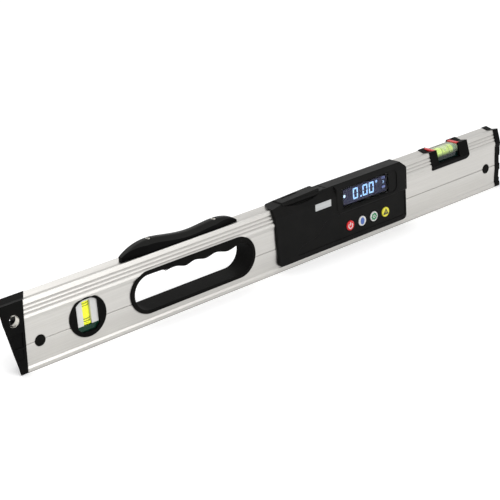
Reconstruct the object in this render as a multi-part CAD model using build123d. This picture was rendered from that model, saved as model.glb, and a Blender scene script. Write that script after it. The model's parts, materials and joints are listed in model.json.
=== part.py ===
from build123d import *
import os
from math import cos, radians, sin, tan

# A 24 inch digital spirit level: an aluminium extrusion with a hand slot, a plumb vial,
# a level vial and an electronic angle module, with a moulded cap at each end.
# Millimetres. X runs along the level, the display faces -Y, Z is up, the base is at Z = 0.

os.makedirs("parts", exist_ok=True)

# Overall length and the clearances that every seat shares
LENGTH = 609.6
SEAT_GAP = 0.1
RUN_GAP = 0.35
FAR = 400.0

# Extrusion section, given as half widths and heights
SECTION_H = 62.5
TOP_DIP = 1.8
RIDGE_HALF = 7.4
BULGE_HALF = 11.3
SHOULDER_H = 14.6
BAND_HALF = 10.3
BAND_DROP = 18.5
BAND_H = 5.0
WEB_HALF = 10.0
WEB_DROP = 28.5
LINE_Z = 24.5
LINE_W = 1.2
LINE_DEPTH = 0.5
SCOOP_Z = 11.0
SCOOP_TOP = 20.0
SCOOP_DEPTH = 0.8
NECK_HALF = 8.9
NECK_Z = 5.2
FOOT_HALF = 9.9
FOOT_H = 3.3
GROOVE_COUNT = 3
GROOVE_RISE = 3.3
GROOVE_PITCH = 3.2
GROOVE_W = 2.0
GROOVE_DEPTH = 0.6
WALL = 1.7
FLOOR = 6.9

# End caps: the left one is mitred in plan, raked outwards to the top and holds the hang hole
CAP_PROUD = 0.4
CAP_LIFT = 0.5
RIGHT_CAP_L = 7.5
LEFT_CAP_L = 17.8
MITRE_DEG = 33.0
LEFT_RAKE = 13.0
JOINT_LEAN = 3.9
SPIGOT_L = 30.0
CAP_RECESS = 3.0
CAP_RIB = 2.4
CAP_RIM = 2.2
CAP_RIB_PITCH = 16.0
CAP_SCALLOP = 1.2
CAP_POCKET = 0.9
CAP_POCKET_IN = 2.6
CAP_POCKET_Z = ((13.0, 22.0), (24.0, 37.0))
HANG_X_IN = 6.6
HANG_DROP = 14.3
HANG_R = 4.8
HANG_SLEEVE_WALL = 0.7
HANG_SLEEVE_L = 5.6
HANG_LIP = 1.0
HANG_LIP_GAP = 0.2
HANG_POCKET = 2.5

# Locking plugs that pin the caps through the web
PLUG_IN = 14.8
PLUG_Z = 24.2
PLUG_R = 5.1
PLUG_PROUD = 0.3
PLUG_DEPTH = 5.0

# Plumb vial
PLUMB_IN = 62.4
PLUMB_Z = 29.5
PLUMB_R = 18.3
PLUMB_FLANGE = 1.0
PLUMB_PROUD = 0.8
PLUMB_RIM = 1.2
PLUMB_SLOT_W = 22.0
PLUMB_SLOT_TOP = 15.5
PLUMB_SLOT_LOW = 13.6
PLUMB_SLOT_BEVEL = 4.4
PLUMB_FOOT_H = 5.4
PLUMB_CARRIER_HALF = 8.8
PLUMB_CARRIER_END = 2.0
PLUMB_VIEW_W = 8.0
PLUMB_VIAL_R = 7.8
PLUMB_LIQUID_R = 6.9
PLUMB_END_T = 1.0
RING_W = 0.6
RING_T = 0.2
RING_GAP = 0.03
PLUMB_RING_Z = (-8.0, -5.9, 5.9, 8.0)

# Hand slot and its two grip halves: its share of the free length sets its distance from the plumb vial
GRIP_SHARE = 0.2869
GRIP_L = 140.4
GRIP_BASE_LAND = 10.5
GRIP_TOP_LAND = 12.4
GRIP_FACE_HALF = 11.7
GRIP_LAP = 2.0
GRIP_RIM = 3.6
GRIP_WAVE = ((-32.0, 2.2), (-21.0, 1.5), (-9.5, 4.2), (-0.5, 2.2), (12.5, 4.4), (24.0, 2.5),
             (37.0, 5.4), (51.0, 3.0))
GRIP_END_DEG = 30.0
GRIP_ROUND = 1.0

# Thumb pad on the top edge: heights of its crest above the section, along its length
PAD_IN = 0.4
PAD_L = 128.0
PAD_HALF = 5.4
PAD_TIP_HALF = 2.2
PAD_TAPER = 26.0
PAD_CREST = ((0.0, 3.0), (18.0, 10.9), (28.0, 12.0), (47.0, 9.8), (74.0, 6.8), (104.0, 8.7), (118.0, 6.4))
PAD_TOE_H = 0.8
PAD_SLOPE_W = 3.0
PAD_SLOPE_H = 4.6
PAD_RIDGE_R = 2.0
PAD_SCREWS = ((30.4, 9.3), (103.0, 6.2))
PAD_BORE_R = 2.8
PAD_HEAD_R = 2.4
PAD_HEAD_H = 2.0
PAD_SHANK_R = 1.5
PAD_NUT_W = 7.0
PAD_NUT_H = 2.4
CROSS_W = 0.7
CROSS_L = 2.8
CROSS_DEPTH = 0.9

# Electronic module: its share of the free length sets its distance from the grip
MOD_SHARE = 0.268
MOD_L = 174.5
MOD_Z0 = 5.5
MOD_RISE = 2.9
MOD_HALF = 13.4
MOD_CORNER_R = 5.0
MOD_SLANT = 3.0
MOD_TIP_X = 4.5
MOD_TIP_Z = 6.0
MOD_RAMP_L = 14.0
MOD_RAMP_LIP = 0.6
MOD_TAIL_Y = -4.0
MOD_TAIL_TURN = 0.55
MOD_EDGE = 0.8
MOD_FACE_DROP = 0.8
MOD_SLOPE_Z = 10.5
MOD_SLOPE_Y = 3.6
MOD_FLANGE = 4.0
MOD_LEFT_FLANGE = 7.5
MOD_CUT_Z0 = 11.0
MOD_SPLIT_Y = 5.0
MOD_FRONT_WALL = 2.8
MOD_WALL = 1.8
REAR_SLOPE_Z = 8.0
BOSS_R = 3.0
BOSS_SINK = 0.8
SCREW_R = 1.3
SCREW_HEAD_R = 2.3
SCREW_HEAD_H = 1.6
SCREW_SINK = 2.2
SCREW_L = 17.0

# Display: its share of the free length sets its distance from the battery bay
LCD_SHARE = 0.381
LCD_DROP = 6.7
LCD_W = 59.4
LCD_H = 16.5
LCD_MARGIN = 1.2
LCD_T = 2.0
BACKLIGHT_T = 3.0
LENS_MARGIN = 1.6
LENS_T = 1.0
BEZEL_LEFT = 7.4
BEZEL_RIGHT = 13.0
BEZEL_LOW = 3.2
BEZEL_TOP = 2.4
BEZEL_R = 6.0
BEZEL_DEPTH = 0.7
HOUSING_RIM = 2.6
HOUSING_R = 6.0
HOUSING_SLOPE_Y = 5.0
HOUSING_SLOPE_Z = 3.6
PANEL_DEPTH = 0.6
PANEL_IN = 1.6
PANEL_GAP = 1.2

# Board and what is on it
BOARD_T = 1.6
BOARD_SIDE = 8.0
BOARD_Z0 = 14.5
SENSOR_X = 16.0
SENSOR_L = 16.0
SENSOR_H = 12.0
SENSOR_T = 5.5
SENSOR_Z = 34.0
BUZZER_X = 48.0
BUZZER_R = 6.0
BUZZER_T = 5.0
BUZZER_Z = 34.0

# Push buttons
BUTTON_NAMES = ("power", "hold", "zero", "angle")
BUTTON_IN = 7.3
BUTTON_PITCH = 16.2
BUTTON_Z = 20.8
BUTTON_R = 4.9
BUTTON_PROUD = 0.7
BUTTON_FLANGE = 0.9
BUTTON_FLANGE_T = 1.2
BUTTON_TRAVEL = 0.8
BUTTON_STOP_GAP = 0.05
BUTTON_STEM_R = 2.0
BUTTON_EDGE = 0.3
PRESS_GAP = 0.3
MEMBRANE_T = 1.2
MEMBRANE_MARGIN = 2.0

# Plain plate on the module's face
PLATE_GAP = 9.7
PLATE_DROP = 10.9
PLATE_W = 20.4
PLATE_H = 6.6
PLATE_T = 0.7
PLATE_SINK = 0.4

# Battery bay: two AAA cells one above the other under a hinged lid
CELL_R = 5.25
CELL_L = 44.5
CELL_GAP = 0.3
CONTACT_T = 1.2
CONTACT_R = 3.5
BAY_WALL = 1.5
LID_IN = 12.5
LID_Y = -2.6
LID_HALF = 7.0
KNUCKLE_HALF = 5.0
KNUCKLE_L = 4.0
LEDGE = 1.6
LEDGE_T = 1.2
SEAL_T = 0.6
KNUCKLE_R = 1.25
PIN_R = 0.7
PIN_GAP = 0.05
PIN_OVERRUN = 0.9
HINGE_DROP = 1.25
LID_DOME_LOW = 0.7
LID_DOME_HIGH = 2.6
LID_DOME_INSET = 0.4
LID_DOME_HINGE = 8.8
LID_EDGE = 0.6
LID_MARK_IN = 6.6
LID_MARK_Y = 3.0
LID_MARK_L = 22.0
LID_MARK_W = 3.4
LID_MARK_DEPTH = 0.6
BAY_RIM = 4.0
FINGER_L = 44.0
FINGER_H = 3.0
FINGER_IN = 2.4
FINGER_Y = 1.2

# Level vial saddle in the top edge
SAD_IN = 42.0
SAD_L = 56.6
SAD_H = 18.5
SAD_PROUD = 0.6
SAD_LAP = 1.6
SAD_POST_LEFT = 10.5
SAD_WINDOW_L = 32.0
SAD_FLOOR_DROP = 13.5
SAD_LEFT_R = 2.0
SAD_RIGHT_R = 5.0
LEVEL_BLOCK_HALF = 7.8
LEVEL_BLOCK_EDGE = 2.4
LEVEL_DROP = 6.2
LEVEL_BLOCK_H = 13.0
LEVEL_LIQUID_R = 5.0
LEVEL_END_T = 3.0
LEVEL_PLUG_L = 5.0
LEVEL_RING_OFFSET = 5.0
STRIP_W = 3.6
STRIP_T = 3.0
STRIP_RISE = 0.4
STRIP_HALF = 6.4

# Places that follow from the sizes above
RIGHT_END = LENGTH / 2
LEFT_TIP = -LENGTH / 2
RIGHT_JOINT = RIGHT_END - RIGHT_CAP_L
LEFT_JOINT = LEFT_TIP + LEFT_CAP_L
MITRE = tan(radians(MITRE_DEG))
BULGE_Z = SECTION_H - SHOULDER_H
BAND_Z1 = SECTION_H - BAND_DROP
BAND_Z0 = BAND_Z1 - BAND_H
WEB_Z1 = SECTION_H - WEB_DROP
HANG_X = LEFT_JOINT - HANG_X_IN
HANG_Z = SECTION_H - HANG_DROP
PLUG_LEFT_X = LEFT_JOINT + PLUG_IN
PLUG_RIGHT_X = RIGHT_JOINT - PLUG_IN
PLUMB_X = LEFT_JOINT + PLUMB_IN
SAD_X1 = RIGHT_JOINT - SAD_IN
SAD_X0 = SAD_X1 - SAD_L
SAD_Z0 = SECTION_H - SAD_H
SAD_FLOOR_Z = SECTION_H - SAD_FLOOR_DROP
GRIP_H = SECTION_H - GRIP_BASE_LAND - GRIP_TOP_LAND
GRIP_Z = GRIP_BASE_LAND + GRIP_H / 2
FREE_L = SAD_X0 - PLUMB_X - PLUMB_R - GRIP_L - MOD_L
GRIP_X = PLUMB_X + PLUMB_R + GRIP_SHARE * FREE_L + GRIP_L / 2
PAD_X0 = GRIP_X - GRIP_L / 2 + PAD_IN
MOD_X0 = GRIP_X + GRIP_L / 2 + MOD_SHARE * FREE_L
MOD_X1 = MOD_X0 + MOD_L
MOD_TOP = SECTION_H + MOD_RISE
LID_X0 = MOD_X0 + LID_IN
PLUMB_BARREL_R = PLUMB_R - PLUMB_FLANGE - SEAT_GAP
PLUMB_WINDOW_R = PLUMB_BARREL_R - PLUMB_RIM
PLUMB_FOOT_TOP = PLUMB_Z - PLUMB_SLOT_LOW + PLUMB_FOOT_H
PLUMB_CARRIER_TOP = PLUMB_Z + PLUMB_SLOT_TOP - SEAT_GAP - PLUMB_CARRIER_END
PLUMB_VIAL_Z = (PLUMB_FOOT_TOP + PLUMB_CARRIER_TOP) / 2
PLUMB_VIAL_HALF = (PLUMB_CARRIER_TOP - PLUMB_FOOT_TOP) / 2 - SEAT_GAP
CAV_HALF = WEB_HALF - SCOOP_DEPTH - WALL
CAV_TOP = SECTION_H - TOP_DIP - WALL
CAV_TOP_HALF = RIDGE_HALF - WALL
CUT_X0 = MOD_X0 + MOD_LEFT_FLANGE
CUT_X1 = MOD_X1 - MOD_FLANGE
MOD_IN_X0 = CUT_X0 + MOD_WALL
MOD_IN_X1 = CUT_X1 - MOD_WALL
MOD_IN_Z0 = MOD_CUT_Z0 + MOD_WALL
MOD_IN_Z1 = MOD_TOP - MOD_WALL
FRONT_IN_Y = -MOD_HALF + MOD_FRONT_WALL
REAR_IN_Y = MOD_HALF - MOD_WALL
FACE_Y = -MOD_HALF + MOD_FACE_DROP
PANEL_Y = FACE_Y + PANEL_DEPTH
BAY_IN_X0 = LID_X0 + LEDGE
BAY_IN_L = CELL_L + 2 * (CONTACT_T + CELL_GAP)
BAY_IN_X1 = BAY_IN_X0 + BAY_IN_L
LID_X1 = BAY_IN_X1 + LEDGE
HINGE_X = LID_X1 + KNUCKLE_L + KNUCKLE_R
BAY_END = HINGE_X + BAY_RIM
BOARD_L = LCD_W + 2 * BOARD_SIDE
BOARD_X0 = BAY_END + LCD_SHARE * (MOD_IN_X1 - BAY_END - BOARD_L)
BOARD_X1 = BOARD_X0 + BOARD_L
LCD_X0 = BOARD_X0 + BOARD_SIDE
LCD_Z0 = MOD_TOP - LCD_DROP - LCD_H
BUTTON_X0 = LCD_X0 + BUTTON_IN
PLATE_X0 = LCD_X0 - BEZEL_LEFT - PLATE_GAP - PLATE_W
PLATE_Z0 = MOD_TOP - PLATE_DROP - PLATE_H
LCD_BACK_Y = FRONT_IN_Y + LCD_T
BOARD_Y0 = LCD_BACK_Y + BACKLIGHT_T
BOARD_Y1 = BOARD_Y0 + BOARD_T
BOARD_Z1 = LCD_Z0 + LCD_H
MEMBRANE_Y0 = BOARD_Y0 - MEMBRANE_T
HINGE_Z = MOD_TOP - HINGE_DROP
PIN_HALF = KNUCKLE_HALF + RUN_GAP + PIN_OVERRUN
LID_Z0 = HINGE_Z - KNUCKLE_R
LEDGE_Z1 = LID_Z0 - PIN_GAP - SEAL_T
LEDGE_Z0 = LEDGE_Z1 - LEDGE_T
BAY_IN_HALF = CELL_R + CELL_GAP
BAY_OUT_HALF = BAY_IN_HALF + BAY_WALL
BAY_FLOOR_Z = LEDGE_Z0 - 4 * CELL_R - 3 * CELL_GAP
LEVEL_Z = SAD_FLOOR_Z + LEVEL_BLOCK_H - LEVEL_DROP
SAD_WIN_X0 = SAD_X0 + SAD_POST_LEFT
SAD_WIN_X1 = SAD_WIN_X0 + SAD_WINDOW_L


def block(x0, x1, y0, y1, z0, z1):
    """Box between two corners."""
    return Pos((x0 + x1) / 2, (y0 + y1) / 2, (z0 + z1) / 2) * Box(x1 - x0, y1 - y0, z1 - z0)


def rod_x(y, z, r, x0, x1):
    """Round rod along X."""
    return Pos((x0 + x1) / 2, y, z) * Rot(0, 90, 0) * Cylinder(r, x1 - x0)


def rod_y(x, z, r, y0, y1):
    """Round rod along Y."""
    return Pos(x, (y0 + y1) / 2, z) * Rot(90, 0, 0) * Cylinder(r, y1 - y0)


def rod_z(x, y, r, z0, z1):
    """Round rod along Z."""
    return Pos(x, y, (z0 + z1) / 2) * Cylinder(r, z1 - z0)


def along_x(points, x0, x1):
    """Prism of a (y, z) outline between two X places."""
    return Pos(x0, 0, 0) * extrude(Plane.YZ * Polygon(*points, align=None), amount=x1 - x0)


def along_y(face, y0, y1):
    """Prism of an (x, z) face between two Y places."""
    return Pos(0, y1, 0) * extrude(Plane.XZ * face, amount=y1 - y0)


def mirrored(half):
    """Whole outline from its half, which runs from the base up to the middle of the top."""
    return half + [(-y, z) for y, z in reversed(half) if y > 0]


def shoulder_y(z):
    """Half width of the sloped shoulder at a height."""
    return BULGE_HALF + (RIDGE_HALF - BULGE_HALF) * (z - BULGE_Z) / (SECTION_H - BULGE_Z)


def section_outline(grooved):
    """Outline of the extrusion, with or without the web's fine line and the shoulder's grooves."""
    half = [(FOOT_HALF, 0), (FOOT_HALF, FOOT_H), (NECK_HALF, NECK_Z)]
    half += [(WEB_HALF - SCOOP_DEPTH, SCOOP_Z), (WEB_HALF, SCOOP_TOP)]
    if grooved:
        half += [(WEB_HALF, LINE_Z - LINE_W / 2), (WEB_HALF - LINE_DEPTH, LINE_Z)]
        half.append((WEB_HALF, LINE_Z + LINE_W / 2))
    half += [(WEB_HALF, WEB_Z1), (BAND_HALF, BAND_Z0), (BAND_HALF, BAND_Z1), (BULGE_HALF, BULGE_Z)]
    for i in range(GROOVE_COUNT if grooved else 0):
        z = BULGE_Z + GROOVE_RISE + i * GROOVE_PITCH
        low = z - GROOVE_W / 2
        high = z + GROOVE_W / 2
        half += [(shoulder_y(low), low), (shoulder_y(z) - GROOVE_DEPTH, z), (shoulder_y(high), high)]
    return mirrored(half + [(RIDGE_HALF, SECTION_H), (0, SECTION_H - TOP_DIP)])


def proud_outline(proud, base_z):
    """Plain outline that stands proud of the section all round, above a base height."""
    half = [(FOOT_HALF + proud, base_z), (FOOT_HALF + proud, FOOT_H + proud)]
    half += [(NECK_HALF + proud, NECK_Z + proud), (WEB_HALF + proud, SCOOP_TOP), (WEB_HALF + proud, WEB_Z1)]
    half += [(BAND_HALF + proud, BAND_Z0), (BAND_HALF + proud, BAND_Z1), (BULGE_HALF + proud, BULGE_Z)]
    half += [(RIDGE_HALF + proud, SECTION_H + proud), (0, SECTION_H - TOP_DIP + proud)]
    return mirrored(half)


def cavity_outline(inset):
    """Outline of the hollow inside the extrusion, drawn in by an inset."""
    half = [(CAV_HALF - inset, FLOOR + inset), (CAV_HALF - inset, BULGE_Z)]
    half += [(CAV_TOP_HALF - inset, CAV_TOP - inset)]
    return mirrored(half)


def stadium(length, height):
    """Face with round ends, at the hand slot's centre."""
    return Pos(GRIP_X, GRIP_Z) * SlotOverall(length, height)


joint_plane = Plane(origin=(LEFT_JOINT, -WEB_HALF, 0), z_dir=(1, -MITRE, -JOINT_LEAN / SECTION_H))
end_plane = Plane(origin=(LEFT_TIP, -BULGE_HALF - CAP_PROUD, BULGE_Z), z_dir=(1, -MITRE, LEFT_RAKE / SECTION_H))


# Extrusion, first as a filled bar with its notches: the pieces around it are fitted to the plain bar
def notched_bar(grooved):
    bar = along_x(section_outline(grooved), -LENGTH, RIGHT_JOINT)
    bar = split(bar, bisect_by=joint_plane, keep=Keep.TOP)
    bar -= block(CUT_X0, CUT_X1, -FAR, FAR, MOD_CUT_Z0, FAR)
    return bar - block(SAD_X0 + SAD_LAP, SAD_X1 - SAD_LAP, -FAR, FAR, SAD_Z0 + SAD_LAP, FAR)


plain_bar = notched_bar(False)


def body_extrusion():
    slot = stadium(GRIP_L - 2 * GRIP_LAP, GRIP_H - 2 * GRIP_LAP)
    body = notched_bar(True) - along_x(cavity_outline(0), -LENGTH, LENGTH)
    body -= rod_y(PLUMB_X, PLUMB_Z, PLUMB_BARREL_R + SEAT_GAP, -FAR, FAR)
    body -= along_y(slot, -FAR, FAR)
    for x in (PLUG_LEFT_X, PLUG_RIGHT_X):
        body -= rod_y(x, PLUG_Z, PLUG_R, -FAR, 0)
    for offset, _ in PAD_SCREWS:
        body -= rod_z(PAD_X0 + offset, 0, PAD_SHANK_R + SEAT_GAP, CAV_TOP - WALL, FAR)
    return body


# End caps with a spigot inside the extrusion and a ribbed recess in the outer face
def spigot(x0, x1, plug_x):
    body = along_x(cavity_outline(SEAT_GAP), x0, x1)
    return body - rod_y(plug_x, PLUG_Z, PLUG_R, -FAR, 0)


def end_recess():
    """Ribbed recess outline, as bands between the ribs of the outer face."""
    z = FLOOR
    bands = []
    while z + CAP_RIB_PITCH < HANG_Z:
        bands.append((z, z + CAP_RIB_PITCH - CAP_RIB))
        z += CAP_RIB_PITCH
    return bands


def right_end_cap():
    cap = along_x(proud_outline(CAP_PROUD, CAP_LIFT), RIGHT_JOINT, RIGHT_END)
    cap += spigot(RIGHT_JOINT - SPIGOT_L, RIGHT_JOINT, PLUG_RIGHT_X)
    half = CAV_HALF - CAP_RIM
    for z0, z1 in end_recess():
        cap -= block(RIGHT_END - CAP_RECESS, FAR, -half, half, z0, z1)
        cap -= block(RIGHT_END - CAP_SCALLOP, FAR, -FAR, FAR, z0 + CAP_RIB, z1 - CAP_RIB)
    return cap


def joint_x(z):
    """X of the left joint on the web's front face at a height."""
    return LEFT_JOINT + JOINT_LEAN * z / SECTION_H


def cap_end_x(z):
    """X of the left cap's raked end on the web's front face at a height."""
    return LEFT_TIP + MITRE * (BULGE_HALF - WEB_HALF) + LEFT_RAKE * (BULGE_Z - z) / SECTION_H


def left_end_cap():
    cap = along_x(proud_outline(CAP_PROUD, CAP_LIFT), -LENGTH, LEFT_JOINT + SPIGOT_L)
    cap = split(cap, bisect_by=joint_plane, keep=Keep.BOTTOM)
    cap = split(cap, bisect_by=end_plane, keep=Keep.TOP)
    reach = LEFT_JOINT + SPIGOT_L + MITRE * WEB_HALF
    cap += split(spigot(-LENGTH, reach, PLUG_LEFT_X), bisect_by=joint_plane, keep=Keep.TOP)
    cap -= block(-LENGTH, LEFT_TIP, -FAR, FAR, 0, FAR)
    for z0, z1 in CAP_POCKET_Z:
        points = [(cap_end_x(z0) + CAP_POCKET_IN, z0), (joint_x(z0) - CAP_POCKET_IN, z0)]
        points += [(joint_x(z1) - CAP_POCKET_IN, z1), (cap_end_x(z1) + CAP_POCKET_IN, z1)]
        cap -= along_y(Polygon(*points, align=None), -FAR, -WEB_HALF - CAP_PROUD + CAP_POCKET)
    half = HANG_R + HANG_SLEEVE_WALL + HANG_POCKET
    seat = -BULGE_HALF + HANG_LIP
    cap -= block(-LENGTH, HANG_X + half, seat + HANG_SLEEVE_L, FAR, HANG_Z - half, HANG_Z + half)
    cap -= rod_y(HANG_X, HANG_Z, HANG_R + HANG_LIP_GAP, -FAR, FAR)
    return cap - rod_y(HANG_X, HANG_Z, HANG_R + HANG_SLEEVE_WALL + SEAT_GAP, seat, FAR)


def hang_hole_sleeve():
    """Metal sleeve behind a lip of the left cap."""
    seat = -BULGE_HALF + HANG_LIP
    tube = rod_y(HANG_X, HANG_Z, HANG_R + HANG_SLEEVE_WALL, seat, seat + HANG_SLEEVE_L)
    return tube - rod_y(HANG_X, HANG_Z, HANG_R, -FAR, FAR)


def plug(x):
    """Locking plug: a shallow domed button on a dowel."""
    body = rod_y(x, PLUG_Z, PLUG_R - SEAT_GAP, -WEB_HALF - PLUG_PROUD, -WEB_HALF + PLUG_DEPTH)
    rim = body.faces().sort_by(Axis.Y)[0].edges()
    return chamfer(rim, PLUG_PROUD / 2)


# Plumb vial: a bezel from each side holds a clear foot and a white carrier with the upright vial
def plumb_slot(inset):
    """Upright slot through the bezels: bevelled at the foot, cut round at the top, drawn in by an inset."""
    half_w = PLUMB_SLOT_W / 2 - inset
    top = PLUMB_SLOT_TOP - inset
    low = inset - PLUMB_SLOT_LOW
    knee = half_w - PLUMB_SLOT_BEVEL
    rise = low + PLUMB_SLOT_BEVEL
    points = [(-knee, low), (knee, low), (half_w, rise), (half_w, top), (-half_w, top), (-half_w, rise)]
    slot = along_y(Polygon(*points, align=None), -FAR, FAR) & rod_y(0, 0, PLUMB_WINDOW_R - inset, -FAR, FAR)
    return Pos(PLUMB_X, 0, PLUMB_Z) * slot


def plumb_bezel(side):
    outer = WEB_HALF + PLUMB_PROUD
    flange = rod_y(PLUMB_X, PLUMB_Z, PLUMB_R, 0, outer)
    barrel = rod_y(PLUMB_X, PLUMB_Z, PLUMB_BARREL_R, 0, outer)
    window = plumb_slot(0)
    lip = flange - along_x(section_outline(False), -LENGTH, LENGTH)
    bezel = lip + barrel - window
    return bezel if side > 0 else mirror(bezel, about=Plane.XZ)


def plumb_insert(z0, z1):
    """Piece that fills the slot between two heights, as deep as the carrier."""
    return plumb_slot(SEAT_GAP) & block(-FAR, FAR, -PLUMB_CARRIER_HALF, PLUMB_CARRIER_HALF, z0, z1)


def plumb_vial_carrier():
    view = PLUMB_VIEW_W / 2
    hollow = rod_z(PLUMB_X, 0, PLUMB_VIAL_R + SEAT_GAP, 0, PLUMB_CARRIER_TOP)
    hollow += block(PLUMB_X - view, PLUMB_X + view, -FAR, FAR, 0, PLUMB_CARRIER_TOP)
    return plumb_insert(PLUMB_FOOT_TOP, FAR) - hollow


def plumb_vial_foot():
    return plumb_insert(0, PLUMB_FOOT_TOP - SEAT_GAP)


def plumb_vial_tube():
    tube = rod_z(0, 0, PLUMB_VIAL_R, -PLUMB_VIAL_HALF, PLUMB_VIAL_HALF)
    chamber = PLUMB_VIAL_HALF - PLUMB_END_T
    tube -= rod_z(0, 0, PLUMB_LIQUID_R + RING_T, -chamber, chamber)
    return Pos(PLUMB_X, 0, PLUMB_VIAL_Z) * tube


def plumb_vial_liquid():
    chamber = PLUMB_VIAL_HALF - PLUMB_END_T
    return Pos(PLUMB_X, 0, PLUMB_VIAL_Z) * rod_z(0, 0, PLUMB_LIQUID_R, -chamber, chamber)


def plumb_vial_rings():
    rings = []
    for z in PLUMB_RING_Z:
        ring = rod_z(0, 0, PLUMB_LIQUID_R + RING_T - RING_GAP, z - RING_W / 2, z + RING_W / 2)
        ring -= rod_z(0, 0, PLUMB_LIQUID_R + RING_GAP, z - RING_W, z + RING_W)
        rings.append(Pos(PLUMB_X, 0, PLUMB_VIAL_Z) * ring)
    return Compound(children=rings)


# Hand slot: two halves meet at the middle plane and share a scalloped opening
def grip_opening():
    """Opening face: round ends, a straight floor and a finger wave along the top."""
    radius = GRIP_H / 2 - GRIP_RIM
    straight = (GRIP_L - GRIP_H) / 2
    left = GRIP_X - straight
    right = GRIP_X + straight
    low = GRIP_Z - radius
    high = GRIP_Z + radius
    wave = [(GRIP_X + dx, high - drop) for dx, drop in GRIP_WAVE]
    turn = radians(GRIP_END_DEG)
    end = (right + radius * cos(turn), GRIP_Z + radius * sin(turn))
    edges = [Line((left, low), (right, low))]
    edges.append(ThreePointArc((right, low), (right + radius, GRIP_Z), end))
    edges.append(Spline(end, *wave[::-1], (left, high), tangents=((-sin(turn), cos(turn)), (-1, 0))))
    edges.append(ThreePointArc((left, high), (left - radius, GRIP_Z), (left, low)))
    return make_face(edges)


def grip_half(side):
    plate = along_y(stadium(GRIP_L, GRIP_H), 0, GRIP_FACE_HALF)
    rim = plate.faces().sort_by(Axis.Y)[-1].edges()
    lip = fillet(rim, GRIP_ROUND) - along_x(section_outline(False), -LENGTH, LENGTH)
    sleeve_l = GRIP_L - 2 * GRIP_LAP - 2 * SEAT_GAP
    sleeve_h = GRIP_H - 2 * GRIP_LAP - 2 * SEAT_GAP
    sleeve = along_y(stadium(sleeve_l, sleeve_h), 0, WEB_HALF)
    half = lip + sleeve - along_y(grip_opening(), -FAR, FAR)
    return half if side > 0 else mirror(half, about=Plane.XZ)


# Thumb pad and its screws
def pad_profile():
    crest = [(PAD_X0 + x, SECTION_H + h) for x, h in PAD_CREST]
    toe = (PAD_X0 + PAD_L, SECTION_H + PAD_TOE_H)
    base_z = BULGE_Z
    edges = [Line((PAD_X0, base_z), crest[0]), Spline(*crest, toe)]
    edges += [Line(toe, (toe[0], base_z)), Line((toe[0], base_z), (PAD_X0, base_z))]
    return make_face(edges)


def pad_plan():
    """Plan of the pad: straight sides that taper to narrow ends."""
    x1 = PAD_X0 + PAD_L
    half = [(PAD_X0, PAD_TIP_HALF), (PAD_X0 + PAD_TAPER, PAD_HALF)]
    half += [(x1 - PAD_TAPER, PAD_HALF), (x1, PAD_TIP_HALF)]
    points = [(x, -y) for x, y in half] + half[::-1]
    return extrude(Polygon(*points, align=None), amount=FAR)


def long_edges(face, y):
    """Edges of a face that run along it at a distance from the middle plane."""
    return [e for e in face.edges() if abs(abs(e.center().Y) - y) < SEAT_GAP]


def handle_pad():
    pad = along_y(pad_profile(), -PAD_HALF, PAD_HALF)
    crest = pad.faces().sort_by(Axis.Z)[-1]
    pad = chamfer(long_edges(crest, PAD_HALF), PAD_SLOPE_W, PAD_SLOPE_H, reference=crest)
    ridge = pad.faces().sort_by(Axis.Z)[-1]
    pad = fillet(long_edges(ridge, PAD_HALF - PAD_SLOPE_W), PAD_RIDGE_R)
    pad = (pad & pad_plan()) - plain_bar
    for offset, seat_h in PAD_SCREWS:
        x = PAD_X0 + offset
        pad -= rod_z(x, 0, PAD_BORE_R, SECTION_H + seat_h, FAR)
        pad -= rod_z(x, 0, PAD_SHANK_R + SEAT_GAP, 0, FAR)
    return pad


def cross_recess(x, y, z):
    """Cross in a screw head whose top is at z."""
    bars = block(-CROSS_L / 2, CROSS_L / 2, -CROSS_W / 2, CROSS_W / 2, -CROSS_DEPTH, CROSS_DEPTH)
    bars += block(-CROSS_W / 2, CROSS_W / 2, -CROSS_L / 2, CROSS_L / 2, -CROSS_DEPTH, CROSS_DEPTH)
    return Pos(x, y, z) * bars


def handle_pad_screws():
    screws = []
    for offset, seat_h in PAD_SCREWS:
        x = PAD_X0 + offset
        seat = SECTION_H + seat_h
        head = rod_z(x, 0, PAD_HEAD_R, seat, seat + PAD_HEAD_H)
        head = fillet(head.faces().sort_by(Axis.Z)[-1].edges(), PAD_HEAD_H / 3)
        screw = head - cross_recess(x, 0, seat + PAD_HEAD_H)
        screws.append(screw + rod_z(x, 0, PAD_SHANK_R, CAV_TOP - PAD_NUT_H, seat))
    return Compound(children=screws)


def handle_pad_nuts():
    nuts = []
    for offset, _ in PAD_SCREWS:
        x = PAD_X0 + offset
        half = PAD_NUT_W / 2
        nut = block(x - half, x + half, -half, half, CAV_TOP - PAD_NUT_H, CAV_TOP)
        nuts.append(nut - rod_z(x, 0, PAD_SHANK_R + SEAT_GAP, 0, FAR))
    return Compound(children=nuts)


# Module covers
def module_profile():
    """Front outline of the module: slanted left edge, round lower corners and a cut upper right corner."""
    points = [(MOD_X0 + MOD_SLANT, MOD_Z0), (MOD_X1, MOD_Z0), (MOD_X1, MOD_TOP - MOD_TIP_Z)]
    points += [(MOD_X1 - MOD_TIP_X, MOD_TOP), (MOD_X0, MOD_TOP)]
    face = Polygon(*points, align=None)
    low = [v for v in face.vertices() if abs(v.Y - MOD_Z0) < SEAT_GAP]
    return fillet(low, MOD_CORNER_R)


def boss_places():
    """Centres of the four cover screws, as (x, z)."""
    left = MOD_IN_X0 + BOSS_R - BOSS_SINK
    right = MOD_IN_X1 - BOSS_R + BOSS_SINK
    low = MOD_IN_Z0 + BOSS_R - BOSS_SINK
    high = MOD_TOP - REAR_SLOPE_Z - MOD_WALL - BOSS_R + BOSS_SINK
    middle = (BAY_END + BOARD_X0) / 2
    return [(left, low), (right, low), (right, high), (middle, low)]


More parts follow.
